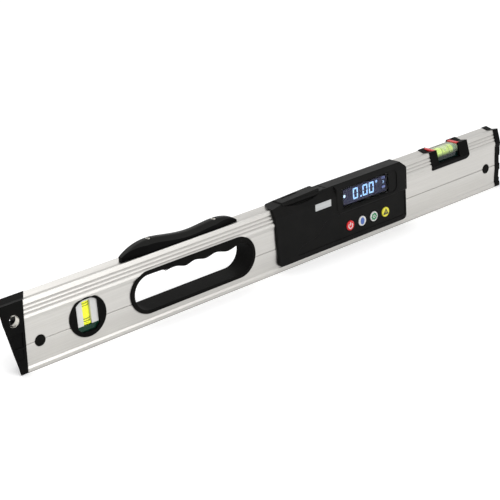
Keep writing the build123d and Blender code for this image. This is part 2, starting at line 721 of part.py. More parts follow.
def lid_well():
    """Space that the lid, its seal and its hinge take in the top of the module."""
    side = LID_HALF + RUN_GAP
    ear = KNUCKLE_HALF + RUN_GAP
    well = block(LID_X0 - RUN_GAP, LID_X1 + RUN_GAP, -side, side, LID_Z0 - PIN_GAP, FAR)
    well += block(LID_X1, HINGE_X, -ear, ear, LID_Z0 - PIN_GAP, FAR)
    well += block(HINGE_X - KNUCKLE_R, HINGE_X + KNUCKLE_R + RUN_GAP, -ear, ear, HINGE_Z, FAR)
    well += rod_y(HINGE_X, HINGE_Z, KNUCKLE_R + RUN_GAP, -ear, ear)
    well += block(LID_X0, LID_X1, -LID_HALF, LID_HALF, LEDGE_Z1, FAR)
    well += block(BAY_IN_X0, BAY_IN_X1, -LID_HALF + LEDGE, LID_HALF - LEDGE, LEDGE_Z0 - LEDGE_T, FAR)
    well += rod_y(HINGE_X, HINGE_Z, PIN_R + PIN_GAP, -PIN_HALF, PIN_HALF)
    return Pos(0, LID_Y, 0) * well


def finger_slot():
    """Lens-shaped finger recess under the front edge of the lid."""
    x0 = LID_X0 + FINGER_IN
    x1 = x0 + FINGER_L
    edges = [Line((x0, LID_Z0), (x1, LID_Z0))]
    edges.append(ThreePointArc((x1, LID_Z0), ((x0 + x1) / 2, LID_Z0 - FINGER_H), (x0, LID_Z0)))
    return along_y(make_face(edges), -FAR, LID_Y - LID_HALF + FINGER_Y)


def rounded_rect(x0, x1, z0, z1, r):
    """Face with rounded corners between two corners."""
    return Pos((x0 + x1) / 2, (z0 + z1) / 2) * RectangleRounded(x1 - x0, z1 - z0, r)


def bezel_face(margin, radius):
    """Face around the display, grown by a margin."""
    x0 = LCD_X0 - BEZEL_LEFT - margin
    x1 = LCD_X0 + LCD_W + BEZEL_RIGHT + margin
    z0 = LCD_Z0 - BEZEL_LOW - margin
    return rounded_rect(x0, x1, z0, LCD_Z0 + LCD_H + BEZEL_TOP + margin, radius)


def housing_face():
    """Display housing, which runs out at the module's top and right edges."""
    x0 = LCD_X0 - BEZEL_LEFT - HOUSING_RIM
    z0 = LCD_Z0 - BEZEL_LOW - HOUSING_RIM
    return rounded_rect(x0, MOD_X1 + HOUSING_R, z0, MOD_TOP + HOUSING_R, HOUSING_R)


def slope_cut(front, run, rise):
    """Prism that slopes the top front of the module back from a front plane."""
    points = [(-FAR, MOD_TOP - rise), (front, MOD_TOP - rise), (front + run, MOD_TOP)]
    return along_x(points + [(front + run, FAR), (-FAR, FAR)], -FAR, FAR)


def tail_cut():
    """Ramp over the left flange and the turned end of its top."""
    ramp_z = SECTION_H + MOD_RAMP_LIP
    ramp_x = MOD_X0 + MOD_RAMP_L
    points = [(MOD_X0 - FAR, ramp_z), (MOD_X0, ramp_z), (ramp_x, MOD_TOP), (ramp_x, FAR), (MOD_X0 - FAR, FAR)]
    ramp = along_y(Polygon(*points, align=None), -FAR, FAR)
    far_x = MOD_X0 + MOD_TAIL_TURN * (FAR - MOD_TAIL_Y)
    turn = Polygon((MOD_X0 - SEAT_GAP, MOD_TAIL_Y), (far_x, FAR), (MOD_X0 - SEAT_GAP, FAR), align=None)
    return ramp + Pos(0, 0, SECTION_H - TOP_DIP) * extrude(turn, amount=FAR)


def panel_face():
    """Lower right part of the face, bounded on the left by a long S curve."""
    x0 = MOD_X0 + MOD_SLANT
    low = MOD_Z0 + MOD_CORNER_R
    right = MOD_X1 - MOD_EDGE - PANEL_IN
    top = LCD_Z0 - BEZEL_LOW - HOUSING_RIM - PANEL_GAP
    left_top = PLATE_X0 + PLATE_W
    bend = (x0 + PLATE_X0) / 2
    edges = [Spline((bend, low), (PLATE_X0, (low + top) / 2), (left_top, top), tangents=((0, 1), (1, 0)))]
    edges += [Line((left_top, top), (right, top)), Line((right, top), (right, low))]
    edges.append(Line((right, low), (bend, low)))
    return make_face(edges)


def module_form():
    """Outer form of the front cover: sloped top front, raised display housing and a sunk lower panel."""
    form = along_y(module_profile(), FACE_Y, MOD_SPLIT_Y)
    form = chamfer(form.faces().sort_by(Axis.Y)[0].edges(), MOD_EDGE)
    form -= slope_cut(FACE_Y, MOD_SLOPE_Y, MOD_SLOPE_Z)
    form -= along_y(panel_face(), -FAR, PANEL_Y)
    housing = along_y(housing_face(), -MOD_HALF, 0)
    housing = chamfer(housing.faces().sort_by(Axis.Y)[0].edges(), MOD_EDGE)
    housing &= along_y(module_profile(), -FAR, FAR)
    return form + (housing - slope_cut(-MOD_HALF, HOUSING_SLOPE_Y, HOUSING_SLOPE_Z)) - tail_cut()


def module_front_cover():
    form = module_form()
    shell = form - block(-FAR, FAR, 0, FAR, 0, MOD_CUT_Z0)
    hollow = block(MOD_IN_X0, MOD_IN_X1, FRONT_IN_Y, FAR, MOD_IN_Z0, MOD_IN_Z1)
    hollow -= slope_cut(FRONT_IN_Y, MOD_SLOPE_Y, MOD_SLOPE_Z) - along_y(housing_face(), -FAR, FAR)
    hollow += holder_block(SEAT_GAP)
    rim = block(MOD_IN_X0, BAY_END, -MOD_HALF, MOD_SPLIT_Y, LEDGE_Z0, MOD_TOP)
    cover = shell - hollow - plain_bar + (rim & form)
    for x, z in boss_places():
        cover += rod_y(x, z, BOSS_R, FRONT_IN_Y, MOD_SPLIT_Y)
        cover -= rod_y(x, z, SCREW_R + SEAT_GAP, MOD_HALF - SCREW_SINK - SCREW_L - SEAT_GAP, FAR)
    cover -= lid_well()
    cover -= finger_slot()
    cover -= block(LCD_X0, LCD_X0 + LCD_W, -FAR, 0, LCD_Z0, LCD_Z0 + LCD_H)
    cover -= lens_plate(LENS_MARGIN + SEAT_GAP, -MOD_HALF - LENS_T)
    cover -= along_y(bezel_face(0, BEZEL_R), -FAR, -MOD_HALF + BEZEL_DEPTH)
    cover -= block(PLATE_X0 - SEAT_GAP, PLATE_X0 + PLATE_W + SEAT_GAP, -FAR, FACE_Y + PLATE_SINK,
                   PLATE_Z0 - SEAT_GAP, PLATE_Z0 + PLATE_H + SEAT_GAP)
    for x in button_places():
        cover -= rod_y(x, BUTTON_Z, BUTTON_R + RUN_GAP, -FAR, 0)
    return cover


def module_rear_cover():
    shell = along_y(module_profile(), MOD_SPLIT_Y, MOD_HALF)
    slope = [(MOD_HALF, MOD_TOP - REAR_SLOPE_Z), (MOD_HALF, MOD_TOP), (MOD_SPLIT_Y, MOD_TOP)]
    shell -= along_x(slope, -FAR, FAR)
    hollow_top = MOD_TOP - REAR_SLOPE_Z - MOD_WALL
    hollow = block(MOD_IN_X0, MOD_IN_X1, 0, REAR_IN_Y, MOD_IN_Z0, hollow_top)
    cover = shell - hollow - plain_bar - tail_cut()
    for x, z in boss_places():
        cover += rod_y(x, z, BOSS_R, MOD_SPLIT_Y, REAR_IN_Y)
        cover -= rod_y(x, z, SCREW_R + SEAT_GAP, 0, FAR)
        cover -= rod_y(x, z, SCREW_HEAD_R + SEAT_GAP, MOD_HALF - SCREW_SINK, FAR)
    return cover


def module_screws():
    screws = []
    seat = MOD_HALF - SCREW_SINK
    for x, z in boss_places():
        head = rod_y(x, z, SCREW_HEAD_R, seat, seat + SCREW_HEAD_H)
        cross = Rot(-90, 0, 0) * cross_recess(0, 0, 0)
        head -= Pos(x, seat + SCREW_HEAD_H, z) * cross
        screws.append(head + rod_y(x, z, SCREW_R, seat - SCREW_L, seat))
    return Compound(children=screws)


# Display stack, board and keypad
def lens_plate(margin, y0):
    """Lens outline grown by a margin, from y0 to the lens seat."""
    seat = -MOD_HALF + BEZEL_DEPTH + LENS_T
    return block(LCD_X0 - margin, LCD_X0 + LCD_W + margin, y0, seat, LCD_Z0 - margin, LCD_Z0 + LCD_H + margin)


def display_lens():
    return lens_plate(LENS_MARGIN, -MOD_HALF + BEZEL_DEPTH)


def lcd_sheet(y0, y1):
    x1 = LCD_X0 + LCD_W + LCD_MARGIN
    z1 = LCD_Z0 + LCD_H + LCD_MARGIN
    return block(LCD_X0 - LCD_MARGIN, x1, y0, y1, LCD_Z0 - LCD_MARGIN, z1)


def circuit_board():
    board = block(BOARD_X0, BOARD_X1, BOARD_Y0, BOARD_Y1, BOARD_Z0, BOARD_Z1)
    for x, z in boss_places():
        board -= rod_y(x, z, BOSS_R + RUN_GAP, -FAR, FAR)
    return board


def tilt_sensor():
    x0 = BOARD_X0 + SENSOR_X
    z0 = SENSOR_Z - SENSOR_H / 2
    return block(x0, x0 + SENSOR_L, BOARD_Y1, BOARD_Y1 + SENSOR_T, z0, z0 + SENSOR_H)


def buzzer():
    return rod_y(BOARD_X0 + BUZZER_X, BUZZER_Z, BUZZER_R, BOARD_Y1, BOARD_Y1 + BUZZER_T)


def button_places():
    return [BUTTON_X0 + i * BUTTON_PITCH for i in range(len(BUTTON_NAMES))]


def keypad_membrane():
    reach = BUTTON_R + MEMBRANE_MARGIN
    xs = button_places()
    return block(xs[0] - reach, xs[-1] + reach, MEMBRANE_Y0, BOARD_Y0, BUTTON_Z - BUTTON_R, BUTTON_Z + BUTTON_R)


def push_button(x):
    face_y = PANEL_Y - BUTTON_PROUD
    flange_y = FRONT_IN_Y + BUTTON_STOP_GAP
    cap = rod_y(x, BUTTON_Z, BUTTON_R, face_y, flange_y)
    cap = fillet(cap.faces().sort_by(Axis.Y)[0].edges(), BUTTON_EDGE)
    cap += rod_y(x, BUTTON_Z, BUTTON_R + BUTTON_FLANGE, flange_y, flange_y + BUTTON_FLANGE_T)
    return cap + rod_y(x, BUTTON_Z, BUTTON_STEM_R, flange_y, MEMBRANE_Y0 - BUTTON_TRAVEL - PRESS_GAP)


def name_plate():
    y1 = FACE_Y + PLATE_SINK
    return block(PLATE_X0, PLATE_X0 + PLATE_W, y1 - PLATE_T, y1, PLATE_Z0, PLATE_Z0 + PLATE_H)


# Battery bay
def cell_heights():
    low = BAY_FLOOR_Z + CELL_GAP + CELL_R
    return [low, low + 2 * CELL_R + CELL_GAP]


def holder_block(gap):
    """Outer block of the battery holder, grown by a gap."""
    x0 = BAY_IN_X0 - BAY_WALL - gap
    x1 = BAY_IN_X1 + BAY_WALL + gap
    half = BAY_OUT_HALF + gap
    return block(x0, x1, LID_Y - half, LID_Y + half, BAY_FLOOR_Z - BAY_WALL - gap, LEDGE_Z0)


def battery_holder():
    inside = block(BAY_IN_X0, BAY_IN_X1, -BAY_IN_HALF, BAY_IN_HALF, BAY_FLOOR_Z, FAR)
    return holder_block(0) - Pos(0, LID_Y, 0) * inside


def battery_cells():
    x0 = BAY_IN_X0 + CONTACT_T + CELL_GAP
    return Compound(children=[rod_x(LID_Y, z, CELL_R, x0, x0 + CELL_L) for z in cell_heights()])


def battery_contacts():
    plates = []
    for z in cell_heights():
        plates.append(rod_x(LID_Y, z, CONTACT_R, BAY_IN_X0, BAY_IN_X0 + CONTACT_T))
        plates.append(rod_x(LID_Y, z, CONTACT_R, BAY_IN_X1 - CONTACT_T, BAY_IN_X1))
    return Compound(children=plates)


def lid_mark():
    """Shallow lens-shaped thumb mark that follows the slope of the lid's top."""
    x0 = LID_X0 + LID_MARK_IN
    x1 = x0 + LID_MARK_L
    side = LID_MARK_W / 2
    edges = [ThreePointArc((x0, 0), ((x0 + x1) / 2, -side), (x1, 0))]
    edges.append(ThreePointArc((x1, 0), ((x0 + x1) / 2, side), (x0, 0)))
    rise = (LID_DOME_HIGH - LID_DOME_LOW) / (HINGE_X - LID_DOME_HINGE - LID_X0 - LID_DOME_INSET)
    floor_z = HINGE_Z + KNUCKLE_R + LID_DOME_LOW - LID_MARK_DEPTH
    low = floor_z + rise * (x0 - LID_X0 - LID_DOME_INSET)
    high = low + rise * LID_MARK_L
    above = along_y(Polygon((x0, low), (x1, high), (x1, FAR), (x0, FAR), align=None), -side, side)
    return Pos(0, LID_MARK_Y, 0) * (extrude(make_face(edges), amount=FAR) & above)


def battery_lid():
    top = HINGE_Z + KNUCKLE_R
    lid = block(LID_X0, LID_X1, -LID_HALF, LID_HALF, LID_Z0, top)
    lid += block(LID_X1, HINGE_X, -KNUCKLE_HALF, KNUCKLE_HALF, LID_Z0, top)
    lid += rod_y(HINGE_X, HINGE_Z, KNUCKLE_R, -KNUCKLE_HALF, KNUCKLE_HALF)
    dome_half = LID_HALF - LID_DOME_INSET
    x0 = LID_X0 + LID_DOME_INSET
    x1 = HINGE_X - LID_DOME_HINGE
    wedge = Polygon((x0, top), (x1, top), (x1, top + LID_DOME_HIGH), (x0, top + LID_DOME_LOW), align=None)
    dome = along_y(wedge, -dome_half, dome_half)
    lid += chamfer(dome.faces().sort_by(Axis.Z)[-1].edges(), LID_EDGE) - lid_mark()
    return Pos(0, LID_Y, 0) * (lid - rod_y(HINGE_X, HINGE_Z, PIN_R + PIN_GAP, -FAR, FAR))


def battery_lid_pin():
    return rod_y(HINGE_X, HINGE_Z, PIN_R, LID_Y - PIN_HALF, LID_Y + PIN_HALF)


def battery_lid_seal():
    half = LID_HALF - SEAT_GAP
    x0 = LID_X0 + SEAT_GAP
    seal = block(x0, LID_X1 - SEAT_GAP, -half, half, LEDGE_Z1, LEDGE_Z1 + SEAL_T)
    return Pos(0, LID_Y, 0) * (seal - block(BAY_IN_X0, BAY_IN_X1, -LID_HALF + LEDGE, LID_HALF - LEDGE, 0, FAR))


# Level vial
def level_vial_saddle():
    saddle = along_x(proud_outline(SAD_PROUD, CAP_LIFT), SAD_X0, SAD_X1)
    saddle &= block(SAD_X0, SAD_X1, -FAR, FAR, SAD_Z0, FAR)
    low = [e for e in saddle.edges().filter_by(Axis.Y) if abs(e.center().Z - SAD_Z0) < SEAT_GAP]
    low.sort(key=lambda edge: edge.center().X)
    saddle = fillet(low[:1], SAD_LEFT_R)
    low = [e for e in saddle.edges().filter_by(Axis.Y) if abs(e.center().Z - SAD_Z0) < SEAT_GAP]
    saddle = fillet([e for e in low if e.center().X > SAD_X1 - SEAT_GAP], SAD_RIGHT_R) - plain_bar
    saddle -= block(SAD_WIN_X0, SAD_WIN_X1, -FAR, FAR, SAD_FLOOR_Z, FAR)
    for x0 in strip_places():
        saddle -= strip_block(x0, SEAT_GAP)
    return saddle


def strip_places():
    """Left edges of the two coloured strips beside the window."""
    return [SAD_WIN_X0 - STRIP_W, SAD_WIN_X1]


def strip_block(x0, gap):
    base = SECTION_H + STRIP_RISE - STRIP_T
    return block(x0, x0 + STRIP_W, -STRIP_HALF - gap, STRIP_HALF + gap, base, base + STRIP_T + FAR * (gap > 0))


def level_end_strips():
    return Compound(children=[strip_block(x0, 0) for x0 in strip_places()])


def level_vial_block():
    x0 = SAD_WIN_X0 + SEAT_GAP
    x1 = SAD_WIN_X1 - SEAT_GAP
    vial = block(x0, x1, -LEVEL_BLOCK_HALF, LEVEL_BLOCK_HALF, SAD_FLOOR_Z, SAD_FLOOR_Z + LEVEL_BLOCK_H)
    vial = chamfer(vial.faces().sort_by(Axis.Z)[-1].edges().filter_by(Axis.X), LEVEL_BLOCK_EDGE)
    return vial - rod_x(0, LEVEL_Z, LEVEL_LIQUID_R + RING_T, x0 + LEVEL_END_T, x1)


def level_vial_liquid():
    x0 = SAD_WIN_X0 + SEAT_GAP + LEVEL_END_T
    return rod_x(0, LEVEL_Z, LEVEL_LIQUID_R, x0, SAD_WIN_X1 - SEAT_GAP - LEVEL_PLUG_L)


def level_vial_plug():
    """Plug that closes the bore at the vial's right end."""
    x1 = SAD_WIN_X1 - SEAT_GAP
    return rod_x(0, LEVEL_Z, LEVEL_LIQUID_R + RING_T - SEAT_GAP, x1 - LEVEL_PLUG_L, x1)


def level_vial_rings():
    middle = (SAD_WIN_X0 + SAD_WIN_X1) / 2
    rings = []
    for x in (middle - LEVEL_RING_OFFSET, middle + LEVEL_RING_OFFSET):
        ring = rod_x(0, LEVEL_Z, LEVEL_LIQUID_R + RING_T - RING_GAP, x - RING_W / 2, x + RING_W / 2)
        rings.append(ring - rod_x(0, LEVEL_Z, LEVEL_LIQUID_R + RING_GAP, x - RING_W, x + RING_W))
    return Compound(children=rings)


nodes = {
    "body_extrusion": body_extrusion(),
    "left_end_cap": left_end_cap(),
    "right_end_cap": right_end_cap(),
    "hang_hole_sleeve": hang_hole_sleeve(),
    "left_plug": plug(PLUG_LEFT_X),
    "right_plug": plug(PLUG_RIGHT_X),
    "plumb_vial_front_bezel": plumb_bezel(-1),
    "plumb_vial_rear_bezel": plumb_bezel(1),
    "plumb_vial_carrier": plumb_vial_carrier(),
    "plumb_vial_foot": plumb_vial_foot(),
    "plumb_vial_tube": plumb_vial_tube(),
    "plumb_vial_liquid": plumb_vial_liquid(),
    "plumb_vial_rings": plumb_vial_rings(),
    "grip_front_half": grip_half(-1),
    "grip_rear_half": grip_half(1),
    "handle_pad": handle_pad(),
    "handle_pad_screws": handle_pad_screws(),
    "handle_pad_nuts": handle_pad_nuts(),
    "module_front_cover": module_front_cover(),
    "module_rear_cover": module_rear_cover(),
    "module_screws": module_screws(),
    "display_lens": display_lens(),
    "lcd_panel": lcd_sheet(FRONT_IN_Y, LCD_BACK_Y),
    "lcd_backlight": lcd_sheet(LCD_BACK_Y, BOARD_Y0),
    "circuit_board": circuit_board(),
    "tilt_sensor": tilt_sensor(),
    "buzzer": buzzer(),
    "keypad_membrane": keypad_membrane(),
    "name_plate": name_plate(),
    "battery_holder": battery_holder(),
    "battery_cells": battery_cells(),
    "battery_contacts": battery_contacts(),
    "battery_lid": battery_lid(),
    "battery_lid_pin": battery_lid_pin(),
    "battery_lid_seal": battery_lid_seal(),
    "level_vial_saddle": level_vial_saddle(),
    "level_end_strips": level_end_strips(),
    "level_vial_block": level_vial_block(),
    "level_vial_liquid": level_vial_liquid(),
    "level_vial_plug": level_vial_plug(),
    "level_vial_rings": level_vial_rings(),
}
for name, x in zip(BUTTON_NAMES, button_places()):
    nodes["button_" + name] = push_button(x)

for name, shape in nodes.items():
    export_step(shape, "parts/" + name + ".step")
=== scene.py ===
import json
import math

import bmesh
import bpy
from mathutils import Matrix, Vector

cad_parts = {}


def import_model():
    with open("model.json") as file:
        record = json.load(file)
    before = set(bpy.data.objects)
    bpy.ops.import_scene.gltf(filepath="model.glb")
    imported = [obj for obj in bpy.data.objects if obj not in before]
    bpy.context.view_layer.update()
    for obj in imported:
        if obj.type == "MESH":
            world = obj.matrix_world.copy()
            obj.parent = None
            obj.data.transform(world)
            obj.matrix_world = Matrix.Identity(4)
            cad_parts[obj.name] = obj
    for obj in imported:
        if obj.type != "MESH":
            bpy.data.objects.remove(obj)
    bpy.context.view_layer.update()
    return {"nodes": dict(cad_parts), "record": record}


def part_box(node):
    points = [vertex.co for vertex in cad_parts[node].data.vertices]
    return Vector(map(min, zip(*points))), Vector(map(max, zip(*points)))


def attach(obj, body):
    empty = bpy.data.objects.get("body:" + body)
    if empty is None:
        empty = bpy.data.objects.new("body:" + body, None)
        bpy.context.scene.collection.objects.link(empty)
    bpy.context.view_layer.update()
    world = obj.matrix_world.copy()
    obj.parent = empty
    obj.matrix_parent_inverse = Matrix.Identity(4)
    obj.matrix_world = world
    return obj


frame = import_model()
MM = 0.001

# Camera fitted to the photograph: place in metres, viewing direction, up and focal length
CAM_POS = Vector((-0.7701, -0.8985, 0.4797))
CAM_FORWARD = Vector((0.588922, 0.722167, -0.362829))
CAM_UP = Vector((0.286714, 0.233052, 0.929237))
CAM_CLIP = 0.01
FOCAL_PX = 1352.5
IMAGE_PX = 500.0
SENSOR_MM = 36.0

# Texture values that several looks share; lengths in metres, noise in waves per metre
NOISE_LOW = 0.3
NOISE_HIGH = 0.7
CLOUD_SCALE = 60.0
WAVE_SCALE = 150.0
INK_SCALE = 700.0
GLOSS_SPREAD = 0.05
METAL_GLOSS_SPREAD = 0.07
CLEAR_GLOSS_SPREAD = 0.03
BEVEL_SAMPLES = 4
BEVEL_R = 0.0003
MOULD_BEVEL_R = 0.0004
GRAIN_DEPTH = 0.00004
HANDLED_DEPTH = 0.00001
DRAWN_DEPTH = 0.00002
# Normal heights over which the pad's painted top light grows
TOP_LIGHT_FROM = 0.2
TOP_LIGHT_TO = 0.9
# Reach and levels of the painted shade in grooves
GROOVE_SAMPLES = 8
GROOVE_REACH = 0.0016
GROOVE_CLOSED = 0.55
GROOVE_OPEN = 0.95
CLEAR_SHADE = 0.94
INK_SHADE = 0.85
INK_ROUGH = 0.4


# Node helpers
def new_material(name):
    """Empty node material with a principled shader, returned with that shader."""
    mat = bpy.data.materials.new(name)
    mat.use_nodes = True
    tree = mat.node_tree
    tree.nodes.clear()
    out = tree.nodes.new("ShaderNodeOutputMaterial")
    bsdf = tree.nodes.new("ShaderNodeBsdfPrincipled")
    tree.links.new(bsdf.outputs["BSDF"], out.inputs["Surface"])
    return mat, bsdf


def noise(tree, scale, stretch=(1, 1, 1), detail=3.0, rough=0.6):
    """Noise in the part's own coordinates, in waves per metre, stretched along the axes."""
    coord = tree.nodes.new("ShaderNodeTexCoord")
    mapping = tree.nodes.new("ShaderNodeMapping")
    mapping.inputs["Scale"].default_value = stretch
    tex = tree.nodes.new("ShaderNodeTexNoise")
    tex.inputs["Scale"].default_value = scale
    tex.inputs["Detail"].default_value = detail
    tex.inputs["Roughness"].default_value = rough
    tree.links.new(coord.outputs["Object"], mapping.inputs["Vector"])
    tree.links.new(mapping.outputs["Vector"], tex.inputs["Vector"])
    return tex.outputs["Fac"]


def ramp(tree, fac, low, high, start=NOISE_LOW, end=NOISE_HIGH):
    """Colour ramp between two colours."""
    node = tree.nodes.new("ShaderNodeValToRGB")
    node.color_ramp.elements[0].position = start
    node.color_ramp.elements[1].position = end
    node.color_ramp.elements[0].color = (*low, 1)
    node.color_ramp.elements[1].color = (*high, 1)
    tree.links.new(fac, node.inputs["Fac"])
    return node.outputs["Color"]


def span(tree, value, to_low, to_high, from_low=NOISE_LOW, from_high=NOISE_HIGH):
    """Number that runs from one value to another with a noise or a measure."""
    node = tree.nodes.new("ShaderNodeMapRange")
    node.inputs["From Min"].default_value = from_low
    node.inputs["From Max"].default_value = from_high
    node.inputs["To Min"].default_value = to_low
    node.inputs["To Max"].default_value = to_high
    tree.links.new(value, node.inputs["Value"])
    return node.outputs["Result"]


def relief(tree, bsdf, height, distance, bevel=BEVEL_R):
    """Bump in metres over edges that a fine radius softens."""
    soft = tree.nodes.new("ShaderNodeBevel")
    soft.samples = BEVEL_SAMPLES
    soft.inputs["Radius"].default_value = bevel
    node = tree.nodes.new("ShaderNodeBump")
    node.inputs["Strength"].default_value = 1.0
    node.inputs["Distance"].default_value = distance
    tree.links.new(height, node.inputs["Height"])
    tree.links.new(soft.outputs["Normal"], node.inputs["Normal"])
    tree.links.new(node.outputs["Normal"], bsdf.inputs["Normal"])


def axis_z(tree, output):
    """Z of the part's own coordinates or normals."""
    coord = tree.nodes.new("ShaderNodeTexCoord")
    parts = tree.nodes.new("ShaderNodeSeparateXYZ")
    tree.links.new(coord.outputs[output], parts.inputs["Vector"])
    return parts.outputs["Z"]


def painted_groove_shade(tree, tint, groove_shade):
    """Colour with painted shade: darker where ambient occlusion finds grooves."""
    shade = tree.nodes.new("ShaderNodeAmbientOcclusion")
    shade.samples = GROOVE_SAMPLES
    shade.inputs["Distance"].default_value = GROOVE_REACH
    level = span(tree, shade.outputs["AO"], groove_shade, 1.0, GROOVE_CLOSED, GROOVE_OPEN)
    scaled = tree.nodes.new("ShaderNodeVectorMath")
    scaled.operation = "SCALE"
    tree.links.new(tint, scaled.inputs[0])
    tree.links.new(level, scaled.inputs["Scale"])
    return scaled.outputs["Vector"]


# Kinds of material
def moulded(name, low, high, rough, grain=2600.0, specular=0.5):
    """Moulded plastic or rubber: fine grain, cloudy colour and uneven gloss."""
    mat, bsdf = new_material(name)
    tree = mat.node_tree
    cloud = noise(tree, CLOUD_SCALE, detail=4.0)
    gloss = span(tree, cloud, rough - GLOSS_SPREAD, rough + GLOSS_SPREAD)
    tree.links.new(ramp(tree, cloud, low, high), bsdf.inputs["Base Color"])
    tree.links.new(gloss, bsdf.inputs["Roughness"])
    relief(tree, bsdf, noise(tree, grain, detail=2.0), GRAIN_DEPTH, MOULD_BEVEL_R)
    bsdf.inputs["Specular IOR Level"].default_value = specular
    return mat


def plastic_with_painted_top_light(name, low, painted_top_light, rough, specular):
    """Smooth plastic with painted light: its upper faces are painted paler."""
    mat, bsdf = new_material(name)
    tree = mat.node_tree
    tint = ramp(tree, axis_z(tree, "Normal"), low, painted_top_light, TOP_LIGHT_FROM, TOP_LIGHT_TO)
    cloud = noise(tree, CLOUD_SCALE, detail=4.0)
    gloss = span(tree, cloud, rough - GLOSS_SPREAD, rough + GLOSS_SPREAD)
    tree.links.new(tint, bsdf.inputs["Base Color"])
    tree.links.new(gloss, bsdf.inputs["Roughness"])
    relief(tree, bsdf, cloud, HANDLED_DEPTH)
    bsdf.inputs["Specular IOR Level"].default_value = specular
    return mat


def drawn_metal(name, low, high, rough, stretch=(0.01, 1, 1), scale=1400.0, metallic=1.0, groove_shade=1.0):
    """Metal with drawing lines along one axis, which may carry painted shade in its grooves."""
    mat, bsdf = new_material(name)
    tree = mat.node_tree
    lines = noise(tree, scale, stretch, detail=5.0, rough=0.7)
    tint = ramp(tree, lines, low, high)
    if groove_shade < 1.0:
        tint = painted_groove_shade(tree, tint, groove_shade)
    gloss = span(tree, lines, rough - METAL_GLOSS_SPREAD, rough + METAL_GLOSS_SPREAD)
    tree.links.new(tint, bsdf.inputs["Base Color"])
    tree.links.new(gloss, bsdf.inputs["Roughness"])
    relief(tree, bsdf, lines, DRAWN_DEPTH)
    bsdf.inputs["Metallic"].default_value = metallic
    return mat


def clear(name, colour, ior, rough=0.02, transmission=1.0, glow=0.0):
    """Clear plastic or liquid with faint waviness, which may carry a little painted glow that stands for
    fluorescence.
    """
    mat, bsdf = new_material(name)
    tree = mat.node_tree
    wave = noise(tree, WAVE_SCALE)
    tint = ramp(tree, wave, [c * CLEAR_SHADE for c in colour], colour)
    tree.links.new(tint, bsdf.inputs["Base Color"])
    tree.links.new(tint, bsdf.inputs["Emission Color"])
    tree.links.new(span(tree, wave, rough, rough + CLEAR_GLOSS_SPREAD), bsdf.inputs["Roughness"])
    bsdf.inputs["Emission Strength"].default_value = glow
    bsdf.inputs["Transmission Weight"].default_value = transmission
    bsdf.inputs["IOR"].default_value = ior
    return mat


def clear_with_painted_shade(name, low, high, z_low, z_high, ior, rough, transmission):
    """Clear block with painted shade at its foot and painted light at its top, between two heights in metres.
    """
    mat, bsdf = new_material(name)
    tree = mat.node_tree
    height = span(tree, axis_z(tree, "Object"), 0.0, 1.0, z_low, z_high)
    gloss = span(tree, noise(tree, WAVE_SCALE), rough, rough + CLEAR_GLOSS_SPREAD)
    tree.links.new(ramp(tree, height, low, high, 0.0, 1.0), bsdf.inputs["Base Color"])
    tree.links.new(gloss, bsdf.inputs["Roughness"])
    bsdf.inputs["Transmission Weight"].default_value = transmission
    bsdf.inputs["IOR"].default_value = ior
    return mat


def glowing(name, colour, strength):
    """Lit display ink, a little uneven."""
    mat, bsdf = new_material(name)
    tree = mat.node_tree
    tint = ramp(tree, noise(tree, INK_SCALE), [c * INK_SHADE for c in colour], colour)
    tree.links.new(tint, bsdf.inputs["Base Color"])
    tree.links.new(tint, bsdf.inputs["Emission Color"])
    bsdf.inputs["Emission Strength"].default_value = strength
    bsdf.inputs["Roughness"].default_value = INK_ROUGH
    return mat


# Materials: name, darkest and palest colour, roughness
# The aluminium carries painted shade in its grooves
ALU = drawn_metal("aluminium_drawn", (0.50, 0.488, 0.465), (0.59, 0.577, 0.551), 0.36, groove_shade=0.55)
PLATE = drawn_metal("plate_satin", (0.42, 0.43, 0.43), (0.52, 0.53, 0.53), 0.42, metallic=0.6)
STEEL = drawn_metal("zinc_steel", (0.55, 0.53, 0.48), (0.70, 0.68, 0.62), 0.28, (1, 1, 1), 900.0)
BLACK = moulded("black_plastic", (0.0044, 0.0044, 0.0043), (0.0076, 0.0074, 0.0070), 0.40, specular=0.055)
DEEP_BLACK = moulded("black_cap", (0.0030, 0.0030, 0.0029), (0.0056, 0.0055, 0.0052), 0.42, specular=0.03)
RUBBER = moulded("black_rubber", (0.0050, 0.0050, 0.0048), (0.0085, 0.0082, 0.0075), 0.52, 3200.0, 0.02)
# The pad's paler upper faces are painted light
SATIN = plastic_with_painted_top_light("satin_black", (0.0015, 0.0015, 0.0015), (0.030, 0.030, 0.029), 0.30, specular=0.04)
WHITE = moulded("white_plastic", (0.66, 0.66, 0.645), (0.74, 0.74, 0.73), 0.35)
RED = moulded("red_plastic", (0.60, 0.008, 0.012), (0.74, 0.014, 0.018), 0.30)
YELLOW = moulded("yellow_plastic", (0.72, 0.66, 0.03), (0.82, 0.76, 0.05), 0.32)
BOARD = moulded("board_green", (0.012, 0.10, 0.035), (0.02, 0.15, 0.05), 0.4)
PART_BLACK = moulded("component_black", (0.02, 0.02, 0.02), (0.035, 0.035, 0.035), 0.5)
JACKET = moulded("cell_jacket", (0.16, 0.16, 0.18), (0.26, 0.26, 0.28), 0.3)
LINE = moulded("print_black", (0.008, 0.008, 0.008), (0.02, 0.02, 0.02), 0.5)
LCD = moulded("lcd_glass", (0.026, 0.026, 0.050), (0.040, 0.040, 0.074), 0.25, specular=0.2)
TEAL = moulded("plug_teal", (0.004, 0.120, 0.125), (0.012, 0.190, 0.190), 0.3)
# The bubble's shape is real; its pale colour is a painted highlight
BUBBLE = moulded("bubble", (0.74, 0.82, 0.62), (0.86, 0.92, 0.76), 0.15)
SYMBOL_WHITE = moulded("symbol_white", (0.70, 0.70, 0.69), (0.80, 0.80, 0.79), 0.4)
SYMBOL_BLUE = moulded("symbol_blue", (0.055, 0.12, 0.40), (0.09, 0.17, 0.50), 0.4)
SYMBOL_GREEN = moulded("symbol_green", (0.002, 0.19, 0.055), (0.008, 0.27, 0.09), 0.4)

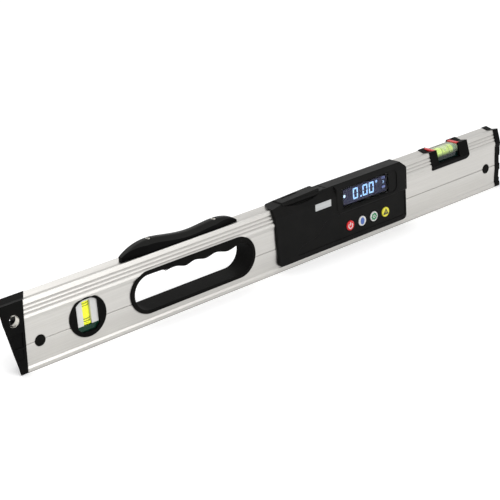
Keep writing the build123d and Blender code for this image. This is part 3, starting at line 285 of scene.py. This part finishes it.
# Clear and lit materials: name, colour, refraction or strength
TUBE = clear("vial_tube", (0.97, 0.98, 0.60), 1.1, transmission=0.95)
FOOT = clear("vial_foot", (0.006, 0.060, 0.036), 1.3, rough=0.05, transmission=0.6)
LENS = clear("display_window", (0.80, 0.82, 0.92), 1.15)
# The liquids' glow is painted light that stands for their fluorescence
LIQUID = clear("vial_liquid", (0.88, 0.90, 0.06), 1.1, rough=0.08, transmission=0.15, glow=0.38)
PALE_LIQUID = clear("level_liquid", (0.76, 0.90, 0.22), 1.1, rough=0.05, transmission=0.35, glow=0.30)
INK = glowing("display_ink", (0.42, 0.70, 1.0), 0.9)
BRIGHT_INK = glowing("display_dot", (0.70, 0.93, 1.0), 1.0)
DIM_INK = glowing("display_dim", (0.20, 0.26, 0.52), 0.55)

# The level vial's block has painted shade at its foot and painted light at its top, between two heights
# inside it
BLOCK_LOW, BLOCK_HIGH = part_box("level_vial_block")
BLOCK_SHADE_TO = BLOCK_LOW[2] + 0.0045
BLOCK_LIGHT_FROM = BLOCK_HIGH[2] - 0.0035
BLOCK = clear_with_painted_shade("vial_block", (0.004, 0.060, 0.055), (0.92, 0.99, 0.74), BLOCK_SHADE_TO, BLOCK_LIGHT_FROM,
                ior=1.4, rough=0.02, transmission=0.86)

# Looks by the record's material slots, and of the nodes that depart from their slot
LOOKS = {
    "anodised_aluminium": ALU,
    "black_plastic": BLACK,
    "black_rubber": RUBBER,
    "bright_steel": STEEL,
    "white_plastic": WHITE,
    "vial_liquid": LIQUID,
    "line_black": LINE,
    "display_window": LENS,
    "lcd_glass": LCD,
    "board_green": BOARD,
    "component_black": PART_BLACK,
    "plate_grey": PLATE,
    "cell_jacket": JACKET,
    "red_plastic": RED,
    "button_blue": WHITE,
    "button_green": WHITE,
    "button_yellow": YELLOW,
    "plug_teal": TEAL,
}
OWN_LOOKS = {
    "handle_pad": SATIN,
    "left_end_cap": DEEP_BLACK,
    "right_end_cap": DEEP_BLACK,
    "level_vial_saddle": DEEP_BLACK,
    "plumb_vial_front_bezel": DEEP_BLACK,
    "plumb_vial_rear_bezel": DEEP_BLACK,
    "plumb_vial_tube": TUBE,
    "plumb_vial_foot": FOOT,
    "level_vial_block": BLOCK,
    "level_vial_liquid": PALE_LIQUID,
}
SLOT_OF = {row["node"]: row["material_slot"] for row in frame["record"]["subparts"]}

for name, obj in frame["nodes"].items():
    look = OWN_LOOKS[name] if name in OWN_LOOKS else LOOKS[SLOT_OF[name]]
    obj.data.materials.clear()
    obj.data.materials.append(look)


# Mesh helpers; outlines are lists of (x, z) points in mm
def mesh_object(name, bm, look, body, smooth=False):
    """Turns a bmesh into a piece that rides on a body."""
    bmesh.ops.recalc_face_normals(bm, faces=bm.faces)
    mesh = bpy.data.meshes.new(name)
    bm.to_mesh(mesh)
    bm.free()
    obj = bpy.data.objects.new(name, mesh)
    bpy.context.collection.objects.link(obj)
    mesh.materials.append(look)
    if smooth:
        mesh.shade_smooth()
    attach(obj, body)
    return obj


def add_plate(bm, outline, y0, y1):
    """Thin plate of an outline between two Y places in mm."""
    near = [bm.verts.new((x * MM, y0 * MM, z * MM)) for x, z in outline]
    far = [bm.verts.new((x * MM, y1 * MM, z * MM)) for x, z in outline]
    bm.faces.new(near)
    bm.faces.new(far[::-1])
    for i in range(len(outline)):
        j = (i + 1) % len(outline)
        bm.faces.new((near[j], near[i], far[i], far[j]))


def add_annulus(bm, outer, inner, y0, y1, closed=True):
    """Band between two outlines with the same number of points."""
    n = len(outer)
    rings = []
    for outline, y in ((outer, y0), (inner, y0), (inner, y1), (outer, y1)):
        rings.append([bm.verts.new((x * MM, y * MM, z * MM)) for x, z in outline])
    for i in range(n if closed else n - 1):
        j = (i + 1) % n
        for a, b in zip(rings, rings[1:] + rings[:1]):
            bm.faces.new((a[i], a[j], b[j], b[i]))
    if not closed:
        bm.faces.new([r[0] for r in rings])
        bm.faces.new([r[-1] for r in rings][::-1])


def ring_points(cx, cz, rx, rz, steps=28, start=0.0, turn=360.0):
    """Points of an ellipse, or of a part of it, between angles in degrees."""
    points = []
    for i in range(steps):
        a = math.radians(start + turn * i / (steps if turn == 360.0 else steps - 1))
        points.append((cx + rx * math.cos(a), cz + rz * math.sin(a)))
    return points


def rectangle(x0, z0, width, height):
    """Outline of a rectangle from its lower left corner."""
    return [(x0, z0), (x0 + width, z0), (x0 + width, z0 + height), (x0, z0 + height)]


def mm_box(node):
    """Corners of a node's box in mm."""
    low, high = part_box(node)
    return [v / MM for v in low], [v / MM for v in high]


# Display: lit segments, a dot and small marks in front of the panel, sizes in mm.
# A share is a place across the window's width or height.
LCD_LOW, LCD_HIGH = mm_box("lcd_panel")
LCD_MARGIN = 1.2
WIN_X0 = LCD_LOW[0] + LCD_MARGIN
WIN_X1 = LCD_HIGH[0] - LCD_MARGIN
WIN_Z0 = LCD_LOW[2] + LCD_MARGIN
WIN_Z1 = LCD_HIGH[2] - LCD_MARGIN
WIN_W = WIN_X1 - WIN_X0
WIN_H = WIN_Z1 - WIN_Z0
INK_GAP = 0.01
INK_T = 0.06
INK_Y1 = LCD_LOW[1] - INK_GAP
INK_Y0 = INK_Y1 - INK_T
DIGIT_H = 11.2
DIGIT_W = 6.6
DIGIT_RISE = 2.9
DIGIT_Z0 = WIN_Z0 + DIGIT_RISE
DIGIT_SHARES = (0.235, 0.455, 0.60)
STROKE = 1.5
CUT = 0.25
POINT_SHARE = 0.40
POINT_SIZE = 1.7
DEGREE_SHARE = 0.775
DEGREE_R = 1.3
DEGREE_HOLE_R = 0.7
DOT_IN = 2.3
DOT_RISE = 6.4
DOT_R = 1.5
MARK_SHARE = 0.905
CELL_SHARE = 0.80
CELL_W = 3.4
CELL_H = 1.8
CELL_WALL = 0.4
TIP_IN = 3.5
TIP_RISE = 0.5
TIP_W = 0.5
TIP_H = 0.8
BAR_SHARE = 0.22
BAR_COUNT = 3
BAR_PITCH = 1.5
BAR_W = 1.0
BAR_H = 2.2
ARROW_SHARE = 0.60
ARROW_HALF_H = 1.4
ARROW_IN = 0.8
ARROW_REACH = 1.2
ARROW_W = 0.8


def add_zero(bm, x0, z0):
    """Seven segment zero: six bars with mitred ends."""
    x1 = x0 + DIGIT_W
    z1 = z0 + DIGIT_H
    zm = (z0 + z1) / 2
    h = STROKE / 2
    upright = [(x0, zm + CUT), (x0, z1 - CUT), (x0 + h, z1 - h - CUT), (x0 + STROKE, z1 - STROKE - CUT),
               (x0 + STROKE, zm + CUT + h), (x0 + h, zm + CUT)]
    top = [(x0 + CUT, z1), (x1 - CUT, z1), (x1 - STROKE - CUT, z1 - STROKE), (x0 + STROKE + CUT, z1 - STROKE)]
    for flip_x in (False, True):
        for flip_z in (False, True):
            outline = []
            for x, z in upright:
                outline.append((x0 + x1 - x if flip_x else x, z0 + z1 - z if flip_z else z))
            add_plate(bm, outline, INK_Y0, INK_Y1)
    add_plate(bm, top, INK_Y0, INK_Y1)
    add_plate(bm, [(x, z0 + z1 - z) for x, z in top], INK_Y0, INK_Y1)


def display():
    """Reading of 0.00 with a degree sign, and the dot at the left."""
    bm = bmesh.new()
    for share in DIGIT_SHARES:
        add_zero(bm, WIN_X0 + share * WIN_W, DIGIT_Z0)
    add_plate(bm, rectangle(WIN_X0 + POINT_SHARE * WIN_W, DIGIT_Z0, POINT_SIZE, POINT_SIZE), INK_Y0, INK_Y1)
    degree = (WIN_X0 + DEGREE_SHARE * WIN_W, DIGIT_Z0 + DIGIT_H - DEGREE_R)
    outer = ring_points(*degree, DEGREE_R, DEGREE_R)
    add_annulus(bm, outer, ring_points(*degree, DEGREE_HOLE_R, DEGREE_HOLE_R), INK_Y0, INK_Y1)
    mesh_object("display_digits", bm, INK, "level")
    bm = bmesh.new()
    add_plate(bm, ring_points(WIN_X0 + DOT_IN, DIGIT_Z0 + DOT_RISE, DOT_R, DOT_R), INK_Y0, INK_Y1)
    mesh_object("display_dot", bm, BRIGHT_INK, "level")


def display_marks():
    """Small marks at the right of the display: a cell, an arrow and unit bars."""
    x0 = WIN_X0 + MARK_SHARE * WIN_W
    bm = bmesh.new()
    z0 = WIN_Z0 + CELL_SHARE * WIN_H
    hole = rectangle(x0 + CELL_WALL, z0 + CELL_WALL, CELL_W - 2 * CELL_WALL, CELL_H - 2 * CELL_WALL)
    add_annulus(bm, rectangle(x0, z0, CELL_W, CELL_H), hole, INK_Y0, INK_Y1)
    add_plate(bm, rectangle(x0 + TIP_IN, z0 + TIP_RISE, TIP_W, TIP_H), INK_Y0, INK_Y1)
    z0 = WIN_Z0 + BAR_SHARE * WIN_H
    for i in range(BAR_COUNT):
        add_plate(bm, rectangle(x0 + BAR_PITCH * i, z0, BAR_W, BAR_H), INK_Y0, INK_Y1)
    mesh_object("display_marks", bm, DIM_INK, "level")
    bm = bmesh.new()
    z0 = WIN_Z0 + ARROW_SHARE * WIN_H
    x1 = x0 + ARROW_IN
    x2 = x1 + ARROW_REACH
    low = z0 - ARROW_HALF_H
    high = z0 + ARROW_HALF_H
    arrow = [(x1, high), (x2, z0), (x1, low), (x1 + ARROW_W, low), (x2 + ARROW_W, z0), (x1 + ARROW_W, high)]
    add_plate(bm, arrow, INK_Y0, INK_Y1)
    mesh_object("display_arrow", bm, INK, "level")


display()
display_marks()

# Printed symbols on the push buttons, sizes in mm
SYMBOL_RAISE = 0.04
SYMBOL_SINK = 0.02
POWER_R = 3.1
POWER_HOLE_R = 2.1
POWER_DROP = 0.3
POWER_START = 130.0
POWER_TURN = 280.0
POWER_STEPS = 36
POWER_BAR_W = 1.0
POWER_BAR_H = 3.2
HOLD_R = (2.7, 3.7)
HOLD_STEPS = 32
PETALS = 8
PETAL_STEPS = 8
FLOWER_R = 3.6
FLOWER_WAVE = 0.40
FLOWER_HOLE_R = 1.7
FLOWER_DOT_R = 0.9
FLOWER_DOT_STEPS = 24
TRIANGLE_HALF_W = 3.8
TRIANGLE_DROP = 2.5
TRIANGLE_RISE = 3.8
TRIANGLE_LEAN = 0.4
TRIANGLE_HOLE = 0.42
TRIANGLE_DOT_R = 0.7
TRIANGLE_DOT_DROP = 0.3
TRIANGLE_DOT_STEPS = 20


def power_symbol(bm, x, z, y0, y1):
    """Ring that is open at the top, with an upright bar."""
    arc = (POWER_STEPS, POWER_START, POWER_TURN)
    outer = ring_points(x, z - POWER_DROP, POWER_R, POWER_R, *arc)
    inner = ring_points(x, z - POWER_DROP, POWER_HOLE_R, POWER_HOLE_R, *arc)
    add_annulus(bm, outer, inner, y0, y1, closed=False)
    add_plate(bm, rectangle(x - POWER_BAR_W / 2, z, POWER_BAR_W, POWER_BAR_H), y0, y1)


def hold_symbol(bm, x, z, y0, y1):
    """Upright oval."""
    add_plate(bm, ring_points(x, z, *HOLD_R, HOLD_STEPS), y0, y1)


def zero_symbol(bm, x, z, y0, y1):
    """Flower-shaped ring round a dot."""
    steps = PETAL_STEPS * PETALS
    outer = []
    for i in range(steps):
        a = 2 * math.pi * i / steps
        r = FLOWER_R + FLOWER_WAVE * math.cos(PETALS * a)
        outer.append((x + r * math.cos(a), z + r * math.sin(a)))
    add_annulus(bm, outer, ring_points(x, z, FLOWER_HOLE_R, FLOWER_HOLE_R, steps), y0, y1)
    add_plate(bm, ring_points(x, z, FLOWER_DOT_R, FLOWER_DOT_R, FLOWER_DOT_STEPS), y0, y1)


def angle_symbol(bm, x, z, y0, y1):
    """Triangle outline round a dot."""
    def triangle(size):
        base = z - TRIANGLE_DROP * size
        top = (x + TRIANGLE_LEAN * size, z + TRIANGLE_RISE * size)
        return [(x - TRIANGLE_HALF_W * size, base), (x + TRIANGLE_HALF_W * size, base), top]

    add_annulus(bm, triangle(1.0), triangle(TRIANGLE_HOLE), y0, y1)
    dot = ring_points(x, z - TRIANGLE_DOT_DROP, TRIANGLE_DOT_R, TRIANGLE_DOT_R, TRIANGLE_DOT_STEPS)
    add_plate(bm, dot, y0, y1)


def button_symbol(name, draw, look):
    """Print on the face of a button, which moves with it."""
    low, high = mm_box("button_" + name)
    bm = bmesh.new()
    centre = ((low[0] + high[0]) / 2, (low[2] + high[2]) / 2)
    draw(bm, *centre, low[1] - SYMBOL_RAISE, low[1] + SYMBOL_SINK)
    mesh_object("symbol_" + name, bm, look, "button_" + name)


button_symbol("power", power_symbol, SYMBOL_WHITE)
button_symbol("hold", hold_symbol, SYMBOL_BLUE)
button_symbol("zero", zero_symbol, SYMBOL_GREEN)
button_symbol("angle", angle_symbol, LINE)

# Bubble of the level vial: a thin lens that lies along the top of the liquid, whose pale colour is a painted
# highlight, sizes in mm
BUBBLE_HALF_L = 4.2
BUBBLE_TURN = 66.0
BUBBLE_RISE = 0.10
BUBBLE_GAP = 0.03
BUBBLE_STEPS = 8
BUBBLE_SPOKES = 40
MERGE = 0.001


def level_bubble():
    """Lens of an upper and a lower sheet that meet at the rim, midway between the vial's lines."""
    low, high = mm_box("level_vial_liquid")
    radius = (high[2] - low[2]) / 2
    marks_low, marks_high = mm_box("level_vial_rings")
    mid_x = (marks_low[0] + marks_high[0]) / 2
    mid_z = (low[2] + high[2]) / 2
    bm = bmesh.new()

    def point(share, turn, height):
        a = math.radians(BUBBLE_TURN * share * math.sin(turn))
        r = radius + height
        x = mid_x + BUBBLE_HALF_L * share * math.cos(turn)
        return bm.verts.new((x * MM, r * math.sin(a) * MM, (mid_z + r * math.cos(a)) * MM))

    turns = [2 * math.pi * i / BUBBLE_SPOKES for i in range(BUBBLE_SPOKES)]
    for height in (BUBBLE_RISE, 0.0):
        centre = point(0, 0, BUBBLE_GAP + height)
        rings = []
        for k in range(1, BUBBLE_STEPS + 1):
            share = k / BUBBLE_STEPS
            lift = BUBBLE_GAP + height * (1 - share * share)
            rings.append([point(share, turn, lift) for turn in turns])
        for i in range(BUBBLE_SPOKES):
            j = (i + 1) % BUBBLE_SPOKES
            bm.faces.new((centre, rings[0][i], rings[0][j]))
            for a, b in zip(rings, rings[1:]):
                bm.faces.new((a[i], b[i], b[j], a[j]))
    bmesh.ops.remove_doubles(bm, verts=bm.verts, dist=MERGE * MM)
    mesh_object("level_vial_bubble", bm, BUBBLE, "level", smooth=True)


level_bubble()


# Camera
def camera():
    """Camera of the photograph."""
    data = bpy.data.cameras.new("camera")
    data.sensor_width = SENSOR_MM
    data.lens = FOCAL_PX / IMAGE_PX * SENSOR_MM
    data.clip_start = CAM_CLIP
    obj = bpy.data.objects.new("camera", data)
    back = -CAM_FORWARD.normalized()
    right = CAM_UP.cross(back).normalized()
    up = back.cross(right)
    turn = Matrix((right, up, back)).transposed().to_4x4()
    obj.matrix_world = Matrix.Translation(CAM_POS) @ turn
    bpy.context.collection.objects.link(obj)
    bpy.context.scene.camera = obj


camera()

# Floor and world: white to the camera, plain in the light that they give. The floor's own glow grows
# with the distance from the part, where the lamps reach less. Lengths in metres.
FLOOR_HALF = 6.0
FLOOR_SCALE = 3.0
FLOOR_LOW = (0.95, 0.95, 0.95)
FLOOR_HIGH = (0.97, 0.97, 0.97)
FLOOR_ROUGH = 0.9
FLOOR_SPECULAR = 0.1
FLOOR_NEAR = 0.6
FLOOR_FAR = 1.8
FLOOR_GLOW_NEAR = 0.27
FLOOR_GLOW_FAR = 0.50
WORLD_LIGHT = 0.54
WORLD_SEEN = 1.0

# Lamps: name, place and target in metres, size in metres, power in watts
LAMPS = (
    ("key", (-0.5, -0.8, 1.3), (0, 0, 0.03), 0.9, 7.0),
    ("top", (0.0, 0.5, 1.3), (0, 0, 0.05), 1.2, 5.5),
    ("front", (0.35, -1.5, 0.5), (-0.15, 0, 0.04), 0.7, 4.5),
)


def background_rays(tree):
    """1 for what is seen straight, in a reflection or through glass, 0 for the light on the part."""
    path = tree.nodes.new("ShaderNodeLightPath")
    seen = tree.nodes.new("ShaderNodeMath")
    seen.operation = "MAXIMUM"
    more = tree.nodes.new("ShaderNodeMath")
    more.operation = "MAXIMUM"
    tree.links.new(path.outputs["Is Camera Ray"], seen.inputs[0])
    tree.links.new(path.outputs["Is Glossy Ray"], seen.inputs[1])
    tree.links.new(seen.outputs[0], more.inputs[0])
    tree.links.new(path.outputs["Is Transmission Ray"], more.inputs[1])
    return more.outputs[0]


def floor():
    """Pale floor that keeps the part's shadow."""
    bm = bmesh.new()
    bmesh.ops.create_grid(bm, x_segments=1, y_segments=1, size=FLOOR_HALF)
    mesh = bpy.data.meshes.new("floor")
    bm.to_mesh(mesh)
    bm.free()
    obj = bpy.data.objects.new("floor", mesh)
    bpy.context.collection.objects.link(obj)
    mat, bsdf = new_material("floor_white")
    tree = mat.node_tree
    cloud = noise(tree, FLOOR_SCALE)
    tree.links.new(ramp(tree, cloud, FLOOR_LOW, FLOOR_HIGH), bsdf.inputs["Base Color"])
    coord = tree.nodes.new("ShaderNodeTexCoord")
    distance = tree.nodes.new("ShaderNodeVectorMath")
    distance.operation = "LENGTH"
    tree.links.new(coord.outputs["Object"], distance.inputs[0])
    far = span(tree, distance.outputs["Value"], FLOOR_GLOW_NEAR, FLOOR_GLOW_FAR, FLOOR_NEAR, FLOOR_FAR)
    glow = tree.nodes.new("ShaderNodeMath")
    glow.operation = "MULTIPLY"
    tree.links.new(background_rays(tree), glow.inputs[0])
    tree.links.new(far, glow.inputs[1])
    tree.links.new(glow.outputs[0], bsdf.inputs["Emission Strength"])
    bsdf.inputs["Emission Color"].default_value = (1, 1, 1, 1)
    bsdf.inputs["Roughness"].default_value = FLOOR_ROUGH
    bsdf.inputs["Specular IOR Level"].default_value = FLOOR_SPECULAR
    mesh.materials.append(mat)


def lamp(name, place, target, size, power):
    """Round soft lamp that shines on a target."""
    data = bpy.data.lights.new(name, "AREA")
    data.shape = "DISK"
    data.size = size
    data.energy = power
    obj = bpy.data.objects.new(name, data)
    obj.location = place
    obj.rotation_euler = (Vector(target) - Vector(place)).to_track_quat("-Z", "Y").to_euler()
    bpy.context.collection.objects.link(obj)


def world():
    """White surroundings that light the part less than they are seen."""
    sky = bpy.data.worlds.new("world")
    sky.use_nodes = True
    tree = sky.node_tree
    tree.nodes.clear()
    out = tree.nodes.new("ShaderNodeOutputWorld")
    back = tree.nodes.new("ShaderNodeBackground")
    level = span(tree, background_rays(tree), WORLD_LIGHT, WORLD_SEEN, 0.0, 1.0)
    tree.links.new(level, back.inputs["Strength"])
    back.inputs["Color"].default_value = (1, 1, 1, 1)
    tree.links.new(back.outputs["Background"], out.inputs["Surface"])
    bpy.context.scene.world = sky


floor()
for row in LAMPS:
    lamp(*row)
world()
bpy.context.scene.view_settings.view_transform = "Standard"
